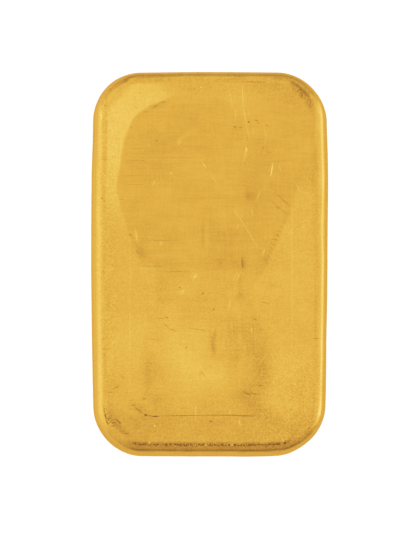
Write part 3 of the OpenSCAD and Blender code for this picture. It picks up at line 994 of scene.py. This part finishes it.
def gold_material(finish):
    """Worn gold. The bar's attributes give its tone, with the highlights and shade painted across its rim,
    and say where there is dirt and painted shade, glints, coarse grain, cast skin and pale metal, which is
    worn and painted highlight. The grain is noise on its place in millimetres, and the scratches, painted
    as highlights and shade, have their own list. Grain, scratches, glints, dirt and painted shade add to
    the tone, and a ramp turns the sum into colour. Pale metal and packed dirt and shade are laid over it.
    The dirt, the painted shade and the cast skin make it rougher."""
    material, tree = new_material("worn_gold")
    tone, dirt_and_shade, glints, coarse, pale, cast = (add(tree, "Attribute", attribute_name=name).outputs["Fac"]
                                              for name in ATTRIBUTES)
    to_face = 1 / (FACE_SHARE * MM)
    shift = tuple(-middle / FACE_SHARE for middle in FACE_MIDDLE)
    place = add(tree, "Mapping", {"Vector": add(tree, "TexCoord").outputs["Object"],
                                  "Scale": (to_face, to_face, to_face), "Location": (*shift, 0.0)})
    place = place.outputs["Vector"]
    fine = place_group(tree, grain_group(), {"Vector": place, "Coarseness": coarse})
    grit = place_group(tree, grit_group(), {"Vector": place, "DirtAndShade": dirt_and_shade, "Glints": glints})
    height = add(tree, "SeparateXYZ", {"Vector": place}).outputs["Z"]
    on_top = maths(tree, "GREATER_THAN", height, TOP_BAND)
    # Painted highlights and shade of the scratches, on the upper face only.
    scratch_light_and_shade = maths(tree, "MULTIPLY", scratched(tree, place), on_top)

    grain = fine.outputs["Grain"]
    dark = grit.outputs["Dark"]
    shade = tone
    for effect, change in ((grain, GRAIN_TONE), (scratch_light_and_shade, SCRATCH_LIGHT_AND_SHADE), (grit.outputs["Bright"], GLINT_TONE),
                           (dark, DIRT_AND_SHADE_TONE)):
        shade = plus(tree, shade, effect, change)
    shade = maths(tree, "MULTIPLY", maths(tree, "ADD", shade, 0.5), 0.5, clamp=True)
    ramp = add(tree, "ValToRGB", {"Fac": shade})
    stops = ramp.color_ramp.elements
    stops[0].position, stops[0].color = 0.0, (*finish.brown_gold, 1)
    stops[1].position, stops[1].color = 1.0, (*finish.bright_gold, 1)
    for position, colour in ((0.25, finish.deep_gold), (0.5, finish.mid_gold), (0.75, finish.pale_gold)):
        stops.new(position).color = (*colour, 1)
    # Lays the pale shoulder on: worn metal with a painted highlight.
    rubbed_and_highlit = add(tree, "Mix", {0: pale, 6: ramp.outputs["Color"], 7: (*finish.rubbed_and_highlight_gold, 1)},
                 data_type="RGBA")
    # Packed dirt and the darkest painted shade take the dirt colour.
    packed = maths(tree, "MULTIPLY", maths(tree, "POWER", dark, 3.0), DIRT_AND_SHADE_COVER)
    dirty = add(tree, "Mix", {0: packed, 6: rubbed_and_highlit.outputs[2], 7: (*finish.dirt_and_shade, 1)}, data_type="RGBA")
    rough = plus(tree, finish.gloss, dark, DIRT_ROUGH)
    rough = plus(tree, rough, cast, finish.wall_rough)
    bump = add(tree, "Bump", {"Strength": GRAIN_BUMP, "Distance": GRAIN_HEIGHT, "Height": grain})
    principled(tree, {"Base Color": dirty.outputs[2], "Metallic": 1.0, "Roughness": rough,
                      "Specular Tint": (*finish.edge_gold, 1), "Normal": bump.outputs["Normal"]})
    return material


# The table's glow, and how much more of it the camera sees than the bar does.
TABLE_GLOW = 0.70
SEEN_GLOW = 0.12


def table_material(stage):
    """A plain pale top with a glow, as of a lit table, which is fainter in the bar than to the eye."""
    material, tree = new_material("pale_table")
    seen = add(tree, "LightPath").outputs["Is Camera Ray"]
    glow = plus(tree, TABLE_GLOW, seen, SEEN_GLOW)
    principled(tree, {"Base Color": (*stage.table_colour, 1), "Roughness": 0.9,
                      "Emission Color": (1, 1, 1, 1), "Emission Strength": glow})
    return material


# ---------------------------------------------------------------- stage


# How much the light all round, which is 1, changes near the horizon at the head and the foot, at the
# left, and in the low strip at the right. What the camera sees has a grey of its own.
ENDS_LIGHT = -0.25
LEFT_LIGHT = 0.05
STRIP_LIGHT = 0.18
BACKDROP = 0.92


def light_tent(world):
    """Soft light from all round: full overhead, a little brighter at the left, brighter in a strip low
    at the right, and dimmer at the foot and head near the horizon. What the camera itself sees behind
    the table is plain and pale."""
    world.use_nodes = True
    tree = world.node_tree
    tree.nodes.clear()
    way = add(tree, "SeparateXYZ", {"Vector": add(tree, "TexCoord").outputs["Generated"]})
    x, y, z = (way.outputs[axis] for axis in "XYZ")

    def between(value, low, high, start, end):
        node = add(tree, "MapRange", {"Value": value, "From Min": low, "From Max": high,
                                      "To Min": start, "To Max": end}, interpolation_type="SMOOTHSTEP")
        return node.outputs["Result"]

    low = between(z, 0.15, 0.85, 1.0, 0.0)
    ends = between(maths(tree, "ABSOLUTE", y), 0.3, 0.8, 0.0, ENDS_LIGHT)
    ends = maths(tree, "MULTIPLY", ends, low)
    left = between(x, -0.15, -0.7, 0.0, LEFT_LIGHT)
    strip = maths(tree, "MULTIPLY", between(x, 0.5, 0.9, 0.0, STRIP_LIGHT), between(z, 0.1, 0.45, 1.0, 0.0))
    total = maths(tree, "ADD", maths(tree, "ADD", ends, left), maths(tree, "ADD", strip, 1.0))
    tent = add(tree, "Background", {"Color": (1, 1, 1, 1), "Strength": total})
    plain = add(tree, "Background", {"Color": (BACKDROP, BACKDROP, BACKDROP, 1), "Strength": 1.0})
    chosen = add(tree, "MixShader", {0: add(tree, "LightPath").outputs["Is Camera Ray"],
                                     1: tent.outputs[0], 2: plain.outputs[0]})
    add(tree, "OutputWorld", {"Surface": chosen.outputs[0]})


def make_table(stage):
    """A round table top, a fan of triangles round its middle."""
    sides, radius = 96, 1.2
    angle = np.arange(sides) / sides * 2 * math.pi
    points = np.zeros((sides + 1, 3))
    points[1:, 0], points[1:, 1] = radius * np.cos(angle), radius * np.sin(angle)
    points[:, 2] = FACE_LOW[2]
    rim = np.arange(sides)
    faces = np.stack([np.zeros(sides, int), rim + 1, np.roll(rim, -1) + 1], axis=1)
    mesh = bpy.data.meshes.new("table_top")
    mesh.from_pydata(points, [], faces.tolist())
    mesh.materials.append(table_material(stage))
    fresh_object("table_top", mesh)


# Where the camera aims, from the bar's middle.
AIM_ACROSS = 0.01 * MM
AIM_ALONG = -0.44 * MM


def make_camera(stage):
    """Looks down on the bar, leaning a little towards its foot and its left side."""
    camera = bpy.data.cameras.new("camera")
    camera.lens = stage.lens
    camera.sensor_width = 36.0
    half = math.atan(camera.sensor_width / 2 / camera.lens)
    away = stage.view_long / 2 / math.tan(half)
    back = np.array([-math.sin(stage.tilt_left), -math.sin(stage.tilt_foot), 1.0])
    back /= np.linalg.norm(back)
    target = np.array([AIM_ACROSS, AIM_ALONG, BAR_SIZE[2] / 2])
    thing = fresh_object("camera", camera)
    thing.location = target + back * away
    right = np.cross([0.0, 1.0, 0.0], back)
    right /= np.linalg.norm(right)
    up = np.cross(back, right)
    turn = np.stack([right, up, back], axis=1)
    thing.rotation_mode = "QUATERNION"
    thing.rotation_quaternion = Matrix(turn.tolist()).to_quaternion()
    camera.clip_start, camera.clip_end = 0.01, 10.0
    bpy.context.scene.camera = thing


class GOLDBAR_OT_ingot(bpy.types.Operator):
    """Build the cast gold bar"""

    bl_idname = "goldbar.ingot"
    bl_label = "Build the Bar"

    def execute(self, context):
        scene = context.scene
        make_bar(scene.gold_bar_shape, scene.gold_bar_finish)
        return {"FINISHED"}


class GOLDBAR_OT_stage(bpy.types.Operator):
    """Build the table, the light and the camera"""

    bl_idname = "goldbar.stage"
    bl_label = "Build the Stage"

    def execute(self, context):
        scene = context.scene
        stage = scene.gold_bar_stage
        scene.world = bpy.data.worlds.new("light_tent")
        light_tent(scene.world)
        make_table(stage)
        make_camera(stage)
        scene.view_settings.view_transform = "Standard"
        return {"FINISHED"}


class GOLDBAR_PT_panel(bpy.types.Panel):
    """Lists the sizes, the colours and the buttons that build from them"""

    bl_idname = "GOLDBAR_PT_panel"
    bl_label = "Gold Bar"
    bl_space_type = "VIEW_3D"
    bl_region_type = "UI"
    bl_category = "Gold Bar"

    def draw(self, context):
        for group in SETTINGS:
            settings = getattr(context.scene, group)
            for name in settings.bl_rna.properties.keys():
                if name not in ("rna_type", "name"):
                    self.layout.prop(settings, name)
        for operator in OPERATORS:
            self.layout.operator(operator.bl_idname)


SETTINGS = {
    "gold_bar_shape": GoldBarShape,
    "gold_bar_finish": GoldBarFinish,
    "gold_bar_stage": GoldBarStage,
}
OPERATORS = (GOLDBAR_OT_ingot, GOLDBAR_OT_stage)
CLASSES = (*SETTINGS.values(), *OPERATORS, GOLDBAR_PT_panel)


def register():
    for cls in CLASSES:
        bpy.utils.register_class(cls)
    for name, cls in SETTINGS.items():
        setattr(bpy.types.Scene, name, bpy.props.PointerProperty(type=cls))


def unregister():
    for name in SETTINGS:
        delattr(bpy.types.Scene, name)
    for cls in reversed(CLASSES):
        bpy.utils.unregister_class(cls)


def main():
    register()
    bpy.ops.goldbar.ingot()
    bpy.ops.goldbar.stage()


if __name__ == "__main__":
    main()
